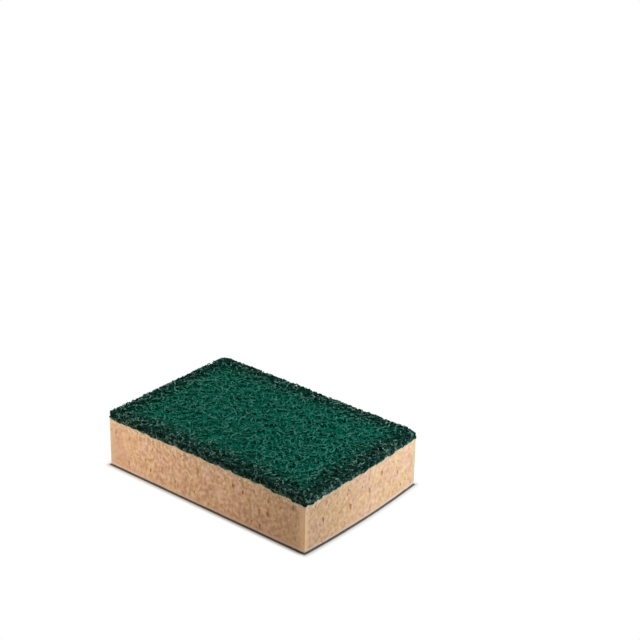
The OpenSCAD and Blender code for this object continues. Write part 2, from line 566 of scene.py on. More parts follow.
        # Painted highlight along the upright edges, palest near the lit corner.
        cut = graph.blend(graph.ramp(x - y, *self.lit_corner), self.dim_edge_highlight, self.edge_highlight)
        edge = graph.ramp(graph.larger(from_end * self.end_share, from_side) + fray, *self.along_edge)
        colour = graph.coated(
            body,
            (vigour, grained),
            # Painted shade near the corner where the pad sags.
            (self.painted_corner_shade(plan), self.dull),
            # Painted shade towards the end of least X.
            (graph.ramp(x, *self.shaded_end), self.end_shade),
            (edge, cut),
            (graph.ramp(below_rim, *self.fringe) * tatter, self.frayed),
            (self.pale_crumb.at(graph, *torn) * crumbly * self.pale_crumb.share, self.crumb),
            (self.dull_crumb.at(graph, *torn) * crumbly * self.dull_crumb.share, self.dull),
            # Painted highlight: a pale band along the foot.
            (graph.ramp(height + fray * self.foot_lift_mm, *self.foot), self.foot_highlight),
            # Painted shade: the open cells darken with depth.
            (self.depth(graph, from_end, from_side, height), self.hollow),
            # Painted shadow under the pad's hanging rim, in dark green.
            (graph.ramp(above_rim, *self.shade_under_pad_band), self.shade_under_pad),
        )
        self.sheen.dress(graph, colour, wrinkle * 0.8 + knob * 0.4 - pit * 0.5 - pinprick * 0.2)
        return material

    def depth(self, graph: Graph, from_end: Field, from_side: Field, from_base: Field) -> Field:
        """Gives the share of painted cell shade: 0 on a sawn face or a rounded upright edge, and up to 1 deep
        inside an open cell.
        """
        nearest = graph.smaller(graph.smaller(from_end, from_side), from_base)
        off_corner = graph.ramp(graph.larger(from_end, from_side), *self.off_corner)
        return graph.ramp(nearest, *self.in_cell) * off_corner

    def vigour(self, plan: Plan, from_end: Field, from_side: Field) -> Field:
        """Gives how strongly the grain shows: less at one end of the long sides, and at the back of the ends."""
        on_end = plan.graph.ramp(from_side - from_end, *self.onto_end)
        calm = on_end * plan.graph.ramp(plan.y, *self.calm_end)
        return (1 - calm) * plan.graph.ramp(plan.x, *self.calm_side)

    def painted_corner_shade(self, plan: Plan) -> Field:
        """Gives the share of the dull colour that paints shade on the foam near the corner where the pad sags."""
        corner = Droop(self.rim.sag.side_x, self.rim.sag.side_y, self.corner_shade_share, self.corner_shade_reach_mm)
        return corner.at(replace(plan, unit=1.0))


@dataclass(frozen=True)
class FibreFinish:
    """Crimped nylon fibre under dark green resin: slightly glossy, beaded with pale tones, with painted shade at
    the rim, along the seam and deeper in the mat, and a painted grey sheen near the rim.

    Its Spans are like those of the foam's finish.
    """

    half: Triple
    seam: float
    deep: Colour = paint(8, 103, 83)
    gap: Colour = paint(2, 74, 60)
    shaded_rim_deep: Colour = paint(0, 30, 24)
    seam_shadow: Colour = paint(0, 20, 15)
    resin: Colour = paint(4, 97, 79)
    shaded_rim_resin: Colour = paint(0, 42, 34)
    pale: Colour = paint(66, 124, 111)
    rim_sheen: Colour = paint(108, 141, 132)
    sheen_colour: Colour = (0.05, 0.9, 0.7)
    inward: Span = (0.0, 18.0)
    patch_mm: float = 9.0
    patch: Span = (0.35, 0.65, 0.0, 0.22)
    bead_mm: float = 1.9
    bead: Span = (0.36, 0.64, 0.0, 0.58)
    fibre_share: float = 0.28
    lightness: Span = (0.15, 1.05)
    clump_mm: float = 2.8
    clump: Span = (0.4, 0.6, 0.55, 0.0)
    clump_calm: float = 0.75
    level: Span = (0.1, 0.85)
    weave_mm: float = 1.1
    weave: Span = (0.38, 0.62)
    foot_mm: float = 2.0
    foot_lift_mm: float = 1.2
    foot: Span = (0.5, 1.9)
    grain_mm: float = 1.2
    sheen: Sheen = Sheen(roughness=0.62, mirroring=0.15, relief=0.1 * MM, strength=0.5)

    def make(self) -> bpy.types.Material:
        """Builds the material, which reads how deep each fibre lies and how pale it is by chance.

        Returns:
            A material for the web and all its fibres.
        """
        material, graph = new_surface("green resin fibre")
        place = graph.millimetres()
        x, y, z = graph.parts(place)
        plan = Plan(graph, x, y, self.half[0] / MM, self.half[1] / MM)
        # middle is 0 at the rim and 1 well inside; towards the rim the resin and the web take darker colours, as
        # painted shade.
        middle = graph.ramp(plan.inside(), *self.inward)
        shade, height = (
            graph.field("ShaderNodeAttribute", "Fac", attribute_name=name) for name in ScouringPad.STORED
        )

        patches = graph.ramp(graph.noise(place, self.patch_mm, 2.0), *self.patch)
        bead = graph.ramp(graph.noise(place, self.bead_mm, 0.5), *self.bead)
        lightness = graph.ramp(shade * self.fibre_share + patches + bead, *self.lightness)
        # Painted grey sheen on the pale fibres near the rim.
        highlight = graph.blend(middle, self.rim_sheen, self.pale)
        fibre = graph.blend(lightness, graph.blend(middle, self.shaded_rim_resin, self.resin), highlight)
        clump = graph.ramp(graph.noise(place, self.clump_mm, 1.0), *self.clump)
        # Painted shade deeper in the mat: fibres that lie low, and those in clumps near the rim, take the web's
        # colour.
        level = graph.ramp(height - (1 - middle * self.clump_calm) * clump, *self.level)
        weave = graph.ramp(graph.noise(place, self.weave_mm, 2.0), *self.weave)
        web = graph.blend(middle, self.shaded_rim_deep, graph.blend(weave, self.gap, self.deep))
        # Painted shadow: fibres just above the seam turn nearly black.
        above_seam = z - self.seam / MM + graph.noise(place, self.foot_mm) * self.foot_lift_mm
        colour = graph.coated(self.seam_shadow, (graph.ramp(above_seam, *self.foot), graph.blend(level, web, fibre)))
        shader = self.sheen.dress(graph, colour, graph.noise(place, self.grain_mm, 1.0))
        shader.inputs["Specular Tint"].default_value = (*self.sheen_colour, 1.0)
        return material


@dataclass(frozen=True)
class FloorFinish:
    """Pale studio floor: white to the camera, but pale grey near the sponge, with a painted contact shadow where
    they touch.
    """

    foot: Triple
    swell: Swell
    body: float = 0.6
    contact_shadow: Colour = (0.128, 0.114, 0.107)
    contact_shadow_reach: float = 0.4 * MM
    open_reach: float = 1.0 * MM
    shadow_reach: float = 3.8 * MM

    def make(self) -> bpy.types.Material:
        """Builds the material.

        Returns:
            A matt material that turns plain white, to the camera or a gloss, a little way off the foot.
        """
        material, graph = new_surface("studio floor")
        graph.tree.nodes.clear()
        x, y, _ = graph.parts(graph.field("ShaderNodeTexCoord", "Object"))
        end = self.swell.at(Plan(graph, x, y, *self.foot[:2])) + self.foot[0]
        past = graph.length(graph.larger(abs(x) - end, 0.0), graph.larger(abs(y) - self.foot[1], 0.0))
        clear = graph.ramp(past, self.contact_shadow_reach, self.shadow_reach)
        open_floor = graph.ramp(past, self.contact_shadow_reach, self.open_reach)
        # Painted contact shadow: the floor turns dark right at the foot.
        tone = graph.blend(open_floor, self.contact_shadow, (self.body,) * 3)
        matt = graph.field("ShaderNodeBsdfDiffuse", "BSDF", {"Color": tone})
        white = graph.field("ShaderNodeEmission", "Emission", {"Strength": 1.0})
        mixed = graph.node("ShaderNodeMixShader", {"Fac": seen_directly(graph) * clear})
        graph.feed(mixed.inputs[1], matt)
        graph.feed(mixed.inputs[2], white)
        graph.node("ShaderNodeOutputMaterial", {"Surface": graph.out(mixed, "Shader")})
        return material


def new_surface(name: str) -> tuple[bpy.types.Material, Graph]:
    """Makes a material with one Principled shader, and gives it with its graph."""
    material = bpy.data.materials.new(name)
    material.use_nodes = True
    return material, Graph(material.node_tree)


def seen_directly(graph: Graph) -> Field:
    """Gives 1 for rays from the camera, a gloss or a clear piece, and 0 for rays that light things."""
    path = graph.node("ShaderNodeLightPath")
    either = graph.larger(graph.out(path, "Is Camera Ray"), graph.out(path, "Is Glossy Ray"))
    return graph.larger(either, graph.out(path, "Is Transmission Ray"))


def add_object(name: str, data: bpy.types.ID) -> bpy.types.Object:
    """Puts a mesh, a lamp or a camera into the scene as an object at the origin."""
    piece = bpy.data.objects.new(name, data)
    bpy.context.scene.collection.objects.link(piece)
    return piece


def new_mesh(name: str, places: Sequence[Triple], faces: Sequence[Sequence[int]] = ()) -> bpy.types.Mesh:
    """Makes a mesh of points and faces."""
    mesh = bpy.data.meshes.new(name)
    mesh.from_pydata(places, [], faces)
    return mesh


def grow_geometry(name: str, start: bpy.types.Mesh, graph: Graph, values: Inputs) -> bpy.types.Object:
    """Runs a geometry tree on a mesh and keeps the result as a plain mesh.

    Args:
        name: The finished piece's name.
        start: Mesh that the tree starts from.
        graph: The tree.
        values: Value of each of the tree's inputs, by name.

    Returns:
        The finished piece, with no modifier.
    """
    seedling = add_object(name, start)
    modifier = seedling.modifiers.new(graph.tree.name, "NODES")
    modifier.node_group = graph.tree
    for item in graph.tree.interface.items_tree:
        if item.in_out == "INPUT" and item.name in values:
            modifier[item.identifier] = values[item.name]
    depsgraph = bpy.context.evaluated_depsgraph_get()
    grown = bpy.data.meshes.new_from_object(seedling.evaluated_get(depsgraph), depsgraph=depsgraph)
    grown.name = name
    seedling.modifiers.remove(modifier)
    seedling.data = grown
    bpy.data.meshes.remove(start)
    return seedling


def half_sizes(half: np.ndarray) -> dict[str, float]:
    """Names the half lengths that a geometry tree takes."""
    return {"Half length": float(half[0]), "Half width": float(half[1])}


def corners_of(mesh: bpy.types.Mesh) -> np.ndarray:
    """Gives the corners of each triangle of a mesh, as an array of triangles by corners by X, Y and Z."""
    mesh.calc_loop_triangles()
    places = np.empty(len(mesh.vertices) * 3)
    mesh.vertices.foreach_get("co", places)
    order = np.empty(len(mesh.loop_triangles) * 3, dtype=np.int32)
    mesh.loop_triangles.foreach_get("vertices", order)
    return places.reshape(-1, 3)[order].reshape(-1, 3, 3)


def patches_of(triangles: np.ndarray) -> np.ndarray:
    """Numbers the connected patches of a loose set of triangles.

    Args:
        triangles: Triangles by corners by X, Y and Z.

    Returns:
        The patch number of each triangle.
    """
    micrometres = np.round(triangles.reshape(-1, 3) * 1e6).astype(np.int64)
    _, shared = np.unique(micrometres, axis=0, return_inverse=True)
    shared = shared.reshape(-1, 3)
    label = np.arange(shared.max() + 1)
    while True:
        lowest = label[shared].min(axis=1)
        spread = label.copy()
        np.minimum.at(spread, shared.ravel(), np.repeat(lowest, 3))
        spread = spread[spread]
        if np.array_equal(spread, label):
            return label[shared[:, 0]]
        label = spread


@dataclass
class OpenCell:
    """One cell that the saw laid bare: a hollow egg just under a sawn face, upright as the foam rose."""

    STORED: ClassVar[tuple[str, str]] = ("reach", "turn")
    FLATNESS: ClassVar[float] = 0.4
    BURST: ClassVar[float] = 1.35
    RISE: ClassVar[float] = 1.3

    centre: Vector
    reach: Triple
    turn: Triple

    @classmethod
    def from_patch(cls, places: np.ndarray, low: np.ndarray, high: np.ndarray) -> "OpenCell":
        """Fits a cell to the patch of wall that it left in the solid.

        Args:
            places: Points of the cell's wall.
            low: Lowest corner of the block.
            high: Highest corner of the block.

        Returns:
            The cell.
        """
        margins = np.concatenate([places - low, high - places], axis=1)
        side = int(margins.min(axis=0).argmin())
        axis = side % 3
        outward = np.zeros(3)
        outward[axis] = -1.0 if side < 3 else 1.0
        along = [k for k in range(3) if k != axis]
        flat = places[:, along]
        _, vectors = np.linalg.eigh(np.cov((flat - flat.mean(axis=0)).T))
        lengths = flat @ vectors
        middle = (lengths.max(axis=0) + lengths.min(axis=0)) / 2
        minor, major = (lengths.max(axis=0) - lengths.min(axis=0)) / 2
        mean = (minor + major) / 2
        depth = margins[:, side].max()
        radius = mean if depth > mean else (depth ** 2 + mean ** 2) / (2 * depth)
        centre = np.zeros(3)
        centre[along] = vectors @ middle
        face = low[axis] if side < 3 else high[axis]
        centre[axis] = face - outward[axis] * (depth - radius) * cls.FLATNESS
        long_way = np.zeros(3)
        long_way[along] = vectors[:, 1]
        if axis != 2 and major < cls.BURST * minor:
            long_way = np.array([0.0, 0.0, 1.0])
            major, minor = mean * cls.RISE, mean / cls.RISE
        across = np.cross(outward, long_way)
        turn = Matrix(np.stack([long_way, across, outward], axis=1).tolist()).to_euler()
        reach = (radius * major / mean, radius * minor / mean, radius * cls.FLATNESS)
        return cls(Vector(centre), reach, tuple(turn))


@dataclass
class FoamBlock:
    """The sawn foam: a skin with a soft unevenness, cut open by large cells, small cells and pinholes."""

    SAWN_CORNER: ClassVar[float] = 1.5 * MM

    solid: bpy.types.Object
    finish: bpy.types.Material
    swell: Swell
    lip: float
    skin_pitch: float = 0.8 * MM
    corner_radius: float = 0.5 * MM
    foot_radius: float = 0.4 * MM
    foot_lift: float = 0.5 * MM
    foot_lift_reach: float = 7.0 * MM
    foot_lift_height: float = 6.0 * MM
    foot_lift_period: float = 30.0 * MM
    unevenness: float = 0.15 * MM
    dent_period: float = 4.0 * MM
    pinhole_radius: float = 0.32 * MM
    wide_pinhole_radius: float = 0.6 * MM
    pinholes_per_square_metre: float = 9000.0
    large_cell: float = 0.85 * MM
    blob_shapes: int = 5
    blob_unevenness: float = 0.55
    fineness: int = 2
    large_fineness: int = 3
    crease_degrees: float = 50.0
    seed: int = 5

    def __post_init__(self) -> None:
        """Reads the block's box from the solid."""
        low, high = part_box("foam_block")
        self.low = np.array(low)
        self.high = np.array(high)
        self.half = (self.high - self.low) / 2

    def open_cells(self) -> list[OpenCell]:
        """Finds the cells in the solid's sawn faces.

        Returns:
            The cells, in the order of their patches.
        """
        triangles = corners_of(self.solid.data)
        middles = triangles.mean(axis=1)
        depth = np.minimum(middles - self.low, self.high - middles).min(axis=1)
        past = self.half[:2] - self.SAWN_CORNER - np.abs(middles[:, :2])
        in_corner = (past < 0).all(axis=1)
        walls = triangles[(depth > 0.01 * MM) & ~in_corner]
        label = patches_of(walls)
        cells = []
        for number in np.unique(label):
            cell = OpenCell.from_patch(walls[label == number].reshape(-1, 3), self.low, self.high)
            cell.centre.x += self.swell.beside(cell.centre.x, cell.centre.y, self.half[0], self.half[1])
            cells.append(cell)
        return cells

    def skin(self) -> bpy.types.Mesh:
        """Lays an even grid of squares over the base and the four sides, and one face on top.

        Returns:
            A closed mesh with rounded upright corners and a rounded foot.
        """
        count_x, count_y = (int(round(2 * h / self.skin_pitch)) for h in self.half[:2])
        top = self.high[2] + self.lip
        rows = int(round(top / self.skin_pitch))
        ring = [(i, 0) for i in range(count_x)] + [(count_x, j) for j in range(count_y)]
        ring += [(count_x - i, count_y - j) for i, j in ring]
        places = []
        index = {}
        for j in range(count_y + 1):
            for i in range(count_x + 1):
                index[i, j] = len(places)
                places.append(self.on_base(i / count_x, j / count_y, self.foot_radius))
        faces = [
            (index[i, j], index[i, j + 1], index[i + 1, j + 1], index[i + 1, j])
            for j in range(count_y) for i in range(count_x)
        ]
        below = [index[step] for step in ring]
        for row in range(1, rows + 1):
            above = list(range(len(places), len(places) + len(ring)))
            places += [self.on_side(i / count_x, j / count_y, top * row / rows) for i, j in ring]
            for k in range(len(ring)):
                after = (k + 1) % len(ring)
                faces.append((below[k], below[after], above[after], above[k]))
            below = above
        return new_mesh("foam skin", places, [*faces, tuple(below)])

    def on_base(self, share_x: float, share_y: float, inset: float) -> Triple:
        """Places a point of the base, whose outline is drawn in by an inset."""
        half_x, half_y = self.half[0] - inset, self.half[1] - inset
        x, y = half_x * (2 * share_x - 1), half_y * (2 * share_y - 1)
        across = (abs(x) - half_x) / self.corner_radius + 1
        along = (abs(y) - half_y) / self.corner_radius + 1
        if across > 0 and along > 0:
            shift_x = across * math.sqrt(1 - along * along / 2) - 1
            shift_y = along * math.sqrt(1 - across * across / 2) - 1
            x = math.copysign(half_x + self.corner_radius * shift_x, x)
            y = math.copysign(half_y + self.corner_radius * shift_y, y)
        return x + self.swell.beside(x, y, half_x, half_y), y, float(self.low[2])

    def on_side(self, share_x: float, share_y: float, height: float) -> Triple:
        """Places a point of the outline at a height, drawn in where the foot is rounded."""
        up = max(0.0, 1 - height / self.foot_radius)
        inset = self.foot_radius * (1 - math.sqrt(1 - up * up))
        x, y, z = self.on_base(share_x, share_y, inset)
        return x, y, z + height

    def tree(self, values: Mapping[str, Any]) -> Graph:
        """Builds the tree that roughens the skin and cuts the cells out of it.

        Args:
            values: The block's sizes, by the names of the tree's inputs.

        Returns:
            The graph.
        """
        graph = Graph.for_geometry("Open-celled foam", "Skin", values)
        read = graph.read
        normal = graph.field("GeometryNodeInputNormal", "Normal")
        cells = graph.field("GeometryNodeObjectInfo", "Geometry", {"Object": read("Cells")})
        reach, turn = (
            graph.field("GeometryNodeInputNamedAttribute", "Attribute", {"Name": name}, data_type="FLOAT_VECTOR")
            for name in OpenCell.STORED
        )
        is_large = graph.parts(reach)[2] > read("Large cell")
        sawn = 0.9 - graph.parts(normal)[2]
        pinholes = graph.field("GeometryNodeDistributePointsOnFaces", "Points", {
            "Mesh": read("Skin"), "Selection": sawn > 0.0,
            "Density": read("Pinholes per square metre"), "Seed": read("Seed") + 1,
        })
        wide = graph.chance(0.0, 1.0, read("Seed") + 2)
        narrowest = read("Narrowest pinhole")
        size = narrowest + (read("Widest pinhole") - narrowest) * wide * wide
        spin = graph.chance((0.0, 0.0, 0.0), (FULL_TURN,) * 3, read("Seed") + 3, "FLOAT_VECTOR")
        shape = graph.chance(0, self.blob_shapes - 1, read("Seed"), "INT")

        def hollows(points: Field, fineness: int, euler: Field, scale: Field, **chosen: Field) -> Field:
            """Puts an uneven ball on each point, or on those of a Selection."""
            return graph.field("GeometryNodeInstanceOnPoints", "Instances", {
                "Points": points, "Instance": self.blobs(graph, fineness),
                "Pick Instance": True, "Instance Index": shape, "Scale": scale,
                "Rotation": graph.field("FunctionNodeEulerToRotation", "Rotation", {"Euler": euler}), **chosen,
            })

        cut = graph.field("GeometryNodeMeshBoolean", "Mesh", {
            "Mesh 1": self.roughened(graph, normal),
            "Mesh 2": graph.join([
                hollows(cells, self.large_fineness, turn, reach, Selection=is_large),
                hollows(cells, self.fineness, turn, reach, Selection=1 - is_large),
                hollows(pinholes, self.fineness, spin, graph.combine(size, size, size)),
            ]),
        }, operation="DIFFERENCE", solver="MANIFOLD")
        smooth = graph.then("SetShadeSmooth", cut, {"Shade Smooth": True})
        angle = graph.field("GeometryNodeInputMeshEdgeAngle", "Unsigned Angle")
        creased = graph.then("SetShadeSmooth", smooth, {
            "Selection": angle > math.radians(self.crease_degrees), "Shade Smooth": False,
        }, domain="EDGE")
        graph.finish(creased, "Foam")
        return graph

    def roughened(self, graph: Graph, normal: Field) -> Field:
        """Dents the skin softly, and lifts its foot a little along the edges."""
        place = graph.position()
        x, y, height = graph.parts(place)
        below_top = graph.smaller((graph.read("Top height") - height) / (0.5 * MM), 1.0)
        dent = graph.noise(place, self.dent_period, 2.0) * graph.read("Unevenness") * below_top
        near_edge = graph.ramp(Plan.in_tree(graph, x, y).inside(), 0.0, graph.read("Lift reach"), 1.0, 0.0)
        low_down = graph.ramp(height, 0.0, self.foot_lift_height, 1.0, 0.0)
        swing = graph.ramp(graph.noise(place, self.foot_lift_period), 0.3, 0.7, 0.6, 1.0)
        rise = graph.combine(0.0, 0.0, near_edge * low_down * swing * graph.read("Lift"))
        return graph.then("SetPosition", graph.read("Skin"), {"Offset": normal * (0 - dent) + rise})

    def blobs(self, graph: Graph, fineness: int) -> Field:
        """Makes a few uneven balls of radius 1 to pick hollows from.

        Args:
            graph: The tree that they go into.
            fineness: Subdivisions of each ball.

        Returns:
            The balls, as one instance each.
        """
        place = graph.position()
        balls = []
        for number in range(self.blob_shapes):
            ball = graph.field("GeometryNodeMeshIcoSphere", "Mesh", {"Radius": 1.0, "Subdivisions": fineness})
            swell = graph.noise(place + (7.3 * number, 1.9 * number, 0.0), 1.1, 1.0) - 0.5
            uneven = graph.then("SetPosition", ball, {"Offset": place * swell * self.blob_unevenness})
            balls.append(graph.field("GeometryNodeGeometryToInstance", "Instances", {"Geometry": uneven}))
        return graph.join(balls)

    def cell_points(self) -> bpy.types.Object:
        """Makes an object with one point for each cell, which carries the cell's reach and turn."""
        cells = self.open_cells()
        mesh = new_mesh("cell points", [cell.centre for cell in cells])
        for name in OpenCell.STORED:
            values = np.array([getattr(cell, name) for cell in cells], dtype=np.float32)
            mesh.attributes.new(name, "FLOAT_VECTOR", "POINT").data.foreach_set("vector", values.ravel())
        LOG.info("foam: %d large and small cells read from the solid", len(cells))
        return add_object("cell points", mesh)

    def build(self) -> bpy.types.Object:
        """Makes the finished block.

        Returns:
            The piece, which stands for the CAD's foam block.
        """
        points = self.cell_points()
        values = {
            "Cells": points,
            "Unevenness": self.unevenness,
            "Large cell": self.large_cell,
            "Pinholes per square metre": self.pinholes_per_square_metre,
            "Narrowest pinhole": self.pinhole_radius,
            "Widest pinhole": self.wide_pinhole_radius,
            "Top height": float(self.high[2]) + self.lip,
            **half_sizes(self.half),
            "Lift": self.foot_lift,
            "Lift reach": self.foot_lift_reach,
            "Seed": self.seed,
            "Foam": self.finish,
        }
        piece = grow_geometry("sponge_foam", self.skin(), self.tree(values), values)
        bpy.data.objects.remove(points)
        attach(piece, "root")
        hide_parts("foam_block")
        return piece


class Lie(Enum):
    """How the fibres of a layer lie in the mat."""

    ACROSS_TOP = "every way across the top"
    ALONG_EDGE = "along the cut edge"


@dataclass(frozen=True)
class FibreLayer:
    """One layer of the mat: how many fibres it has, their size, and how they lie."""

    name: str
    lie: Lie
    per_square_metre: float
    shallowest: float
    deepest: float
    thickness: float
    length: float
    paleness: float
    seed: int


@dataclass(frozen=True)
class Ripple:
    """A swing to and fro along each fibre: its longest and shortest wave, and its least and greatest swing."""

    longest: float
    shortest: float
    least: float
    greatest: float


@dataclass
class ScouringPad:
    """The fibre mat: a dark web that fills it, and layers of single curly fibres over and round the web."""

    STORED: ClassVar[tuple[str, str]] = ("fibre_shade", "fibre_height")

    solid: bpy.types.Object
    finish: bpy.types.Material
    rim: HangingRim
    swell: Swell
    seam: float
    # Deeper layers are given less paleness, as painted shade.
    layers: tuple[FibreLayer, ...] = (
        FibreLayer("pad_fibres_low", Lie.ACROSS_TOP, 125e3, 1.1 * MM, 1.6 * MM, 0.86 * MM, 5.5 * MM, 0.5, 11),
        FibreLayer("pad_fibres_middle", Lie.ACROSS_TOP, 105e3, 0.4 * MM, 0.9 * MM, 0.84 * MM, 5.5 * MM, 0.8, 12),
        FibreLayer("pad_fibres_top", Lie.ACROSS_TOP, 90e3, -0.25 * MM, 0.2 * MM, 0.8 * MM, 5.5 * MM, 1.0, 13),
        FibreLayer("pad_fibres_edge", Lie.ALONG_EDGE, 850e3, 0.0, 0.3 * MM, 0.7 * MM, 6 * MM, 1.1, 14),
    )
    droops: tuple[Droop, ...] = (Droop(1, 1, 1.8 * MM, 7 * MM), Droop(-1, 1, 0.9 * MM, 6 * MM))
    wander: Ripple = Ripple(8 * MM, 5 * MM, 0.2, 0.8)
    kink: Ripple = Ripple(3.2 * MM, 2.2 * MM, 0.1, 0.7)
    loops: Ripple = Ripple(5.5 * MM, 3.0 * MM, 0.5, 1.1)
    ruffle: Ripple = Ripple(2.6 * MM, 1.8 * MM, 0.0, 0.3)
    spacing: float = 0.72
    length_spread: Span = (0.6, 1.15)
    thickness_spread: Span = (0.75, 1.15)
    strayed: float = 0.6
    curl_per_metre: float = 120.0
    edge_reach: Span = (-0.6 * MM, 0.35 * MM)
    top_inset: float = 0.8 * MM
    painted_shade_depth: float = 1.7 * MM
    evenness: float = 0.5
    rim_evenness: float = 0.92
    corner_radius: float = 0.9 * MM
    corner_steps: int = 6
    end_steps: int = 24
    segments: int = 10
    sides: int = 3
    arch: float = 1.15 * MM
    mean_height: float = 6.2 * MM
    core_sink: float = 1.6 * MM
    core_inset: float = 0.45 * MM
    core_lumps: float = 0.5 * MM
    core_lump_period: float = 1.4 * MM
    rim_drop: float = 0.3 * MM

    def __post_init__(self) -> None:
        """Reads the pad's box from the solid."""
        low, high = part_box("scouring_pad")
        self.high = np.array(high)
        self.half = (self.high - np.array(low)) / 2

    def core(self) -> bpy.types.Object:
        """Makes the dark web that shows between the fibres, a little inside the solid all round.

        Returns:
            The piece, which stands for the CAD's scouring pad.
        """
        values = {
            "Sink": self.core_sink, "Inset": self.core_inset, "Lumps": self.core_lumps,
            "Seam height": self.seam, **half_sizes(self.half), "Web": self.finish,
        }
        graph = Graph.for_geometry("Matted web", "Solid", values)
        merged = graph.then("MergeByDistance", graph.read("Solid"), {"Distance": 0.001 * MM})
        fine = graph.field("GeometryNodeSubdivideMesh", "Mesh", {"Mesh": merged, "Level": 1})
        place = graph.position()
        x, y, z = graph.parts(place)
        plan = Plan.in_tree(graph, x, y)
        to_edge = plan.inside()
        above = z - graph.read("Seam height")
        is_top = graph.smaller(above / (2.5 * MM), 1.0) * graph.ramp(to_edge, 0.0, 5 * MM, 0.15, 1.0)
        lump = graph.noise(place, self.core_lump_period, 2.0) * graph.read("Lumps")
        at_rim = graph.ramp(to_edge, 1 * MM, 6 * MM, 0.9, 0.0) * graph.ramp(above, 5.0 * MM, 5.4 * MM)
        evened = above + (self.mean_height - self.rim_drop - above) * at_rim
        lower = graph.larger(evened - (graph.read("Sink") + lump) * is_top, 0.0) + graph.read("Seam height")
        narrow_x, narrow_y = (1 - graph.read("Inset") / half for half in (plan.half_x, plan.half_y))
        shrunk = graph.then("SetPosition", fine, {
            "Position": graph.combine(x * narrow_x + self.swell.at(plan), y * narrow_y, lower),
        })
        graph.finish(graph.then("SetShadeSmooth", shrunk, {"Shade Smooth": True}), "Web")
        return grow_geometry("pad_web", self.solid.data.copy(), graph, values)

    def emitter(self, lie: Lie) -> bpy.types.Mesh:
        """Makes the surface that a layer's fibres start from.

        Args:
            lie: How the layer's fibres lie.

        Returns:
            The pad's outline as one face, or a band that stands round its cut edge.
        """
        outline = self.outline()
        count = len(outline)
        if lie is Lie.ACROSS_TOP:
            return new_mesh("fibre roots", [(x, y, self.high[2]) for x, y in outline], [range(count)])
        foot, head = self.seam + 0.2 * MM, self.seam + 0.85 * (self.high[2] - self.seam)
        places = [(x, y, z) for z in (foot, head) for x, y in outline]
        faces = [(k, (k + 1) % count, (k + 1) % count + count, k + count) for k in range(count)]
        return new_mesh("fibre roots", places, faces)

    def outline(self) -> list[tuple[float, float]]:
        """Walks once round the pad's outline, with its corners as arcs and points along its ends."""
        walk = []
        for quarter in range(4):
            sign_x = 1 if quarter in (0, 3) else -1
            sign_y = 1 if quarter < 2 else -1
            for step in range(self.corner_steps + 1):
                angle = (quarter + step / self.corner_steps) * math.pi / 2
                x = sign_x * (self.half[0] - self.corner_radius) + self.corner_radius * math.cos(angle)
                y = sign_y * (self.half[1] - self.corner_radius) + self.corner_radius * math.sin(angle)
                walk.append((x, y))
            if quarter in (1, 3):
                walk += [(x, y * (1 - 2 * step / self.end_steps)) for step in range(1, self.end_steps)]
        return [(x + self.swell.beside(x, y, self.half[0], self.half[1]), y) for x, y in walk]

    def fibre_tree(self, values: Mapping[str, Any]) -> Graph:
        """Builds the tree that grows one layer of fibres.

        Args:
            values: A layer's sizes, by the names of the tree's inputs.

        Returns:
            The graph.
        """
        graph = Graph.for_geometry("Curly fibres", "Roots", values)
        read = graph.read
        walk = graph.node("GeometryNodeCurveOfPoint")
        fibre = graph.out(walk, "Curve Index")
        draws = iter(range(100, 1000, 7))

        def chance(low: Value, high: Value) -> Field:
            """Draws one number for each fibre."""
            return graph.chance(low, high, read("Seed") + next(draws), ID=fibre)

        roots = graph.field("GeometryNodeDistributePointsOnFaces", "Points", {
            "Mesh": read("Roots"), "Seed": read("Seed"),
            "Distance Min": self.spacing / graph.maths("SQRT", read("Fibres per square metre")),
            "Density Max": read("Fibres per square metre") * 3,
        }, distribute_method="POISSON")
        thread = graph.field("GeometryNodeCurvePrimitiveLine", "Curve", {
            "Start": (0.0, 0.0, 0.0), "End": (0.0, 0.0, 1e-7),
        })
        beaded = graph.field("GeometryNodeResampleCurve", "Curve", {"Curve": thread, "Count": self.segments + 1})
        planted = graph.field("GeometryNodeInstanceOnPoints", "Instances", {"Points": roots, "Instance": beaded})
        threads = graph.then("RealizeInstances", planted)

        root = graph.position()
        root_x, root_y, root_z = graph.parts(root)
        step = read("Length") * chance(*self.length_spread) / self.segments
        run = graph.out(walk, "Index in Curve") * step

        def swing(ripple: Ripple) -> Field:
            """Swings along a fibre, with a wave length and a swing drawn for each fibre."""
            turns = run * chance(FULL_TURN / ripple.longest, FULL_TURN / ripple.shortest) + chance(0.0, FULL_TURN)
            return graph.maths("SINE", turns) * chance(ripple.least, ripple.greatest)

        edge_x, edge_y, _ = graph.parts(self.outward(Plan.in_tree(graph, root_x, root_y))[0])
        either_way = (chance(0.0, 1.0) > 0.5) * math.pi
        along_edge = graph.maths("ARCTAN2", edge_x, 0 - edge_y) + either_way + chance(-self.strayed, self.strayed)
        aligned = read("Along edge")
        free = 1 - aligned
        start = chance(0.0, FULL_TURN) * free + along_edge * aligned
        calm = 1 - aligned * 0.4
        bend = chance(-self.curl_per_metre, self.curl_per_metre) * calm
        heading = start + bend * run + swing(self.wander) * calm + swing(self.kink)
        stride = graph.combine(graph.maths("COSINE", heading) * step, graph.maths("SINE", heading) * step, 0.0)
        travelled = graph.field("GeometryNodeAccumulateField", "Trailing", {
            "Value": stride, "Group ID": fibre,
        }, data_type="FLOAT_VECTOR")
        away_x, away_y, _ = graph.parts(root + travelled)
        away = Plan.in_tree(graph, away_x, away_y)

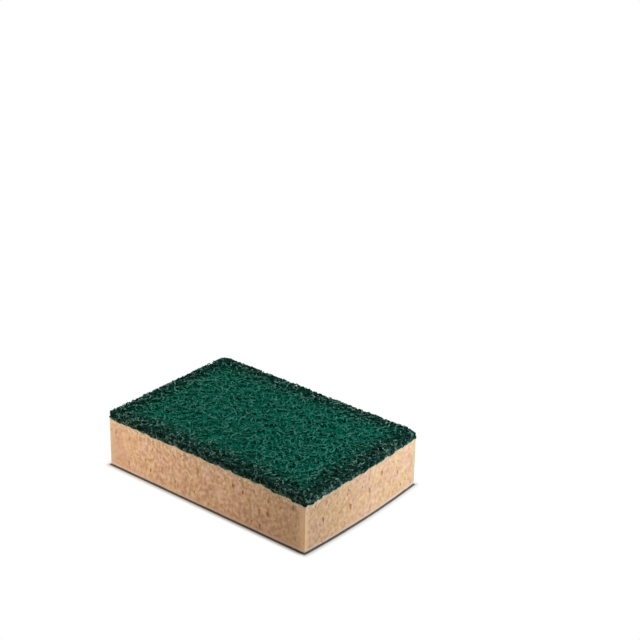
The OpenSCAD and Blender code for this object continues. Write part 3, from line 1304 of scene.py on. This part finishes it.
        lift = (swing(self.loops) + swing(self.ruffle)) * read("Arch")
        below_seam = self.rim.below(away)
        dropped = root_z - below_seam * graph.ramp(root_z, self.seam, self.seam + 4 * MM, 1.0, 0.0)
        slack = graph.ramp(root_z, self.seam, self.seam + 3 * MM, 0.4, 1.0)
        beside = graph.larger(dropped + lift * slack, read("Seam height") - below_seam)
        reach = aligned * chance(*self.edge_reach) - free * chance(0.0, self.top_inset)
        outward, beyond = self.outward(away)
        lip_top = self.seam + self.rim.lip
        proud = graph.ramp(beside, lip_top + 0.5 * MM, lip_top + 0.1 * MM) * aligned * 1.2 * MM - 0.85 * MM
        out = graph.larger(beyond - graph.larger(beyond - reach, 0.0) * 2, proud * aligned - free)
        x, y, _ = graph.parts(graph.combine(away_x, away_y, 0.0) + outward * (out - beyond))

        ground = self.surface(Plan.in_tree(graph, x, y))
        low_arch = graph.ramp(out, -6 * MM, 0.0, 1.0, 0.15)
        tucked = graph.ramp(out, -3 * MM, 0.0, 0.0, 0.35 * MM)
        on_top = ground - chance(read("Shallowest"), read("Deepest")) - tucked + lift * low_arch
        z = on_top * free + graph.smaller(beside, ground - 0.1 * MM) * aligned
        laid = graph.then("SetPosition", threads, {"Position": graph.combine(x, y, z)})
        sunk = (ground - z) * free + (0.3 * MM - out) * aligned
        # The height mark sets painted shade in the finish: the deeper a fibre lies, the more it takes the web's
        # colour.
        marks = (chance(0.0, 1.0) * read("Paleness"), graph.larger(1 - sunk / self.painted_shade_depth, 0.0))
        for name, value in zip(self.STORED, marks):
            laid = graph.then("StoreNamedAttribute", laid, {"Name": name, "Value": value})
        tube = graph.field("GeometryNodeCurveToMesh", "Mesh", {
            "Curve": laid, "Scale": read("Thickness") * chance(*self.thickness_spread), "Fill Caps": True,
            "Profile Curve": graph.field("GeometryNodeCurvePrimitiveCircle", "Curve", {
                "Resolution": self.sides, "Radius": 0.5,
            }),
        })
        graph.finish(graph.then("SetShadeSmooth", tube, {"Shade Smooth": True}), "Resin")
        return graph

    def outward(self, plan: Plan) -> tuple[Field, Field]:
        """Finds the way out to the pad's outline from a point.

        Args:
            plan: The point.

        Returns:
            The way out, as a flat vector of length 1 near the outline and 0 well inside it, and how far
            beyond the outline the point lies.
        """
        graph = plan.graph
        radius = graph.read("Corner radius")
        out_x = graph.larger(abs(plan.x) - (plan.half_x + self.swell.at(plan)) + radius, 0.0)
        out_y = graph.larger(abs(plan.y) - plan.half_y + radius, 0.0)
        way = graph.combine(out_x * graph.maths("SIGN", plan.x), out_y * graph.maths("SIGN", plan.y), 0.0)
        return graph.maths("NORMALIZE", way), graph.length(out_x, out_y) - radius

    def surface(self, plan: Plan) -> Field:
        """Gives the height of the mat under a point: the solid's, with shallower hollows and drooping corners."""
        graph = plan.graph
        mean = graph.read("Seam height") + graph.read("Mean height")
        found = self.ground(plan, mean)
        to_edge = plan.inside()
        lowered = mean - graph.ramp(to_edge, 0.0, 5 * MM, self.rim_drop, 0.0)
        evened = graph.ramp(to_edge, 1 * MM, 7 * MM, self.rim_evenness, graph.read("Evenness"))
        height = found + (lowered - found) * evened
        for droop in self.droops:
            height = height - droop.at(plan)
        return height

    def ground(self, plan: Plan, otherwise: Field) -> Field:
        """Gives the height of the solid's top under a point, just inside the outline, or another height."""
        graph = plan.graph
        inside = 0.985
        within_end = graph.smaller(plan.x, plan.half_x) * inside
        ray = graph.node("GeometryNodeRaycast", {
            "Target Geometry": graph.field("GeometryNodeObjectInfo", "Geometry", {"Object": graph.read("Solid")}),
            "Source Position": graph.combine(within_end, plan.y * inside, graph.read("Seam height") + 50 * MM),
            "Ray Direction": (0.0, 0.0, -1.0), "Ray Length": 100 * MM,
        })
        struck = graph.out(ray, "Is Hit") * 1.0
        return graph.parts(graph.out(ray, "Hit Position"))[2] * struck + otherwise * (1 - struck)

    def layer_values(self, layer: FibreLayer) -> dict[str, Any]:
        """Gives a layer's sizes, by the names of the tree's inputs."""
        return {
            "Solid": self.solid,
            "Fibres per square metre": layer.per_square_metre,
            "Length": layer.length,
            "Thickness": layer.thickness,
            "Shallowest": layer.shallowest,
            "Deepest": layer.deepest,
            "Along edge": 1.0 if layer.lie is Lie.ALONG_EDGE else 0.0,
            "Paleness": layer.paleness,
            **half_sizes(self.half),
            "Corner radius": self.corner_radius,
            "Seam height": self.seam,
            "Arch": self.arch,
            "Evenness": self.evenness,
            "Mean height": self.mean_height,
            "Seed": layer.seed,
            "Resin": self.finish,
        }

    def build(self) -> list[bpy.types.Object]:
        """Makes the whole pad.

        Returns:
            The web and the layers of fibres.
        """
        pieces = [self.core()]
        graph = self.fibre_tree(self.layer_values(self.layers[0]))
        for layer in self.layers:
            roots = self.emitter(layer.lie)
            pieces.append(grow_geometry(layer.name, roots, graph, self.layer_values(layer)))
        for piece in pieces:
            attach(piece, "root")
            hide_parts("scouring_pad")
        return pieces


@dataclass(frozen=True)
class SoftLamp:
    """A round soft lamp that faces the sponge."""

    name: str
    place: Triple
    width: float
    watts: float
    colour: Colour


@dataclass
class Studio:
    """Floor, lamps, surroundings and camera, as the photograph has them."""

    camera_at: Triple = (0.5451, -0.6236, 0.4743)
    frame_middle_on_floor: Triple = (-0.1145, 0.1942, 0.0)
    roll_degrees: float = 1.16
    lens_mm: float = 90.5
    sensor_mm: float = 36.0
    overhead: float = 0.31
    low_down: float = 0.06
    sky_colour: Colour = (1.0, 0.82, 0.64)
    floor_half: float = 6.0
    lamps: tuple[SoftLamp, ...] = (
        SoftLamp("key light", (0.25, 0.14, 0.26), 0.2, 1.32, (0.92, 1.0, 1.04)),
        SoftLamp("fill light", (-0.22, -0.16, 0.16), 0.14, 0.68, (1.0, 0.9, 0.8)),
    )

    def aim(self, piece: bpy.types.Object, place: Triple, target: Triple, roll: float = 0.0) -> None:
        """Puts a camera or a lamp at a place and turns it towards a target, rolled by some degrees."""
        look = Vector(target) - Vector(place)
        piece.location = place
        piece.rotation_mode = "QUATERNION"
        turn = Quaternion((0.0, 0.0, 1.0), math.radians(roll))
        piece.rotation_quaternion = look.to_track_quat("-Z", "Y") @ turn

    def camera(self) -> None:
        """Places the camera where the photograph was taken from."""
        data = bpy.data.cameras.new("camera")
        data.lens = self.lens_mm
        data.sensor_width = self.sensor_mm
        data.clip_start, data.clip_end = 0.05, 50.0
        camera = add_object("camera", data)
        self.aim(camera, self.camera_at, self.frame_middle_on_floor, self.roll_degrees)
        bpy.context.scene.camera = camera

    def floor(self, foot: Triple, swell: Swell) -> None:
        """Lays the pale floor, which knows the half lengths of the sponge's foot."""
        h = self.floor_half
        mesh = new_mesh("floor", [(-h, -h, 0.0), (h, -h, 0.0), (h, h, 0.0), (-h, h, 0.0)], [(0, 1, 2, 3)])
        floor = add_object("floor", mesh)
        mesh.materials.append(FloorFinish(foot, swell).make())

    def hang(self, lamp: SoftLamp) -> None:
        """Hangs one lamp, turned towards the sponge."""
        data = bpy.data.lights.new(lamp.name, "AREA")
        data.shape = "DISK"
        data.size = lamp.width
        data.energy = lamp.watts
        data.color = lamp.colour
        hung = add_object(lamp.name, data)
        hung.visible_camera = False
        self.aim(hung, lamp.place, (0.0, 0.0, 0.0))

    def surroundings(self) -> None:
        """Fills the room with even light, and shows it white to the camera."""
        world = bpy.data.worlds.new("studio")
        world.use_nodes = True
        bpy.context.scene.world = world
        graph = Graph(world.node_tree)
        graph.tree.nodes.clear()
        up = graph.parts(graph.field("ShaderNodeTexCoord", "Generated"))[2]
        level = graph.ramp(up, 0.1, 0.8, self.low_down, self.overhead)
        seen = seen_directly(graph)
        light = graph.field("ShaderNodeBackground", "Background", {
            "Color": graph.blend(seen, self.sky_colour, (1.0, 1.0, 1.0)),
            "Strength": level * (1 - seen) + seen,
        })
        graph.node("ShaderNodeOutputWorld", {"Surface": light})

    def build(self, foot: Triple, swell: Swell) -> None:
        """Sets the whole studio up round a sponge with these half lengths and this bulge."""
        bpy.context.scene.view_settings.view_transform = "Standard"
        self.camera()
        self.floor(foot, swell)
        for lamp in self.lamps:
            self.hang(lamp)
        self.surroundings()


def triangle_count(piece: bpy.types.Object) -> int:
    """Counts a piece's triangles."""
    piece.data.calc_loop_triangles()
    return len(piece.data.loop_triangles)


def main() -> None:
    """Builds the studio and the sponge's two pieces in order."""
    logging.basicConfig(level=logging.INFO, format="%(message)s")
    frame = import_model()
    foam_low, foam_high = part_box("foam_block")
    pad_low, pad_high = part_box("scouring_pad")
    foam_half = tuple((foam_high - foam_low) / 2)
    pad_half = tuple((pad_high - pad_low) / 2)
    swell = Swell()
    rim = HangingRim()
    Studio().build(foam_half, swell)
    foam_finish = FoamFinish(foam_half, foam_high.z, rim, swell).make()
    foam = FoamBlock(frame["nodes"]["foam_block"], foam_finish, swell, rim.lip)
    fibre_finish = FibreFinish(pad_half, foam_high.z).make()
    pad = ScouringPad(frame["nodes"]["scouring_pad"], fibre_finish, rim, swell, seam=foam_high.z)
    for piece in [foam.build(), *pad.build()]:
        LOG.info("%s: %d triangles", piece.name, triangle_count(piece))


if __name__ == "__main__":
    main()
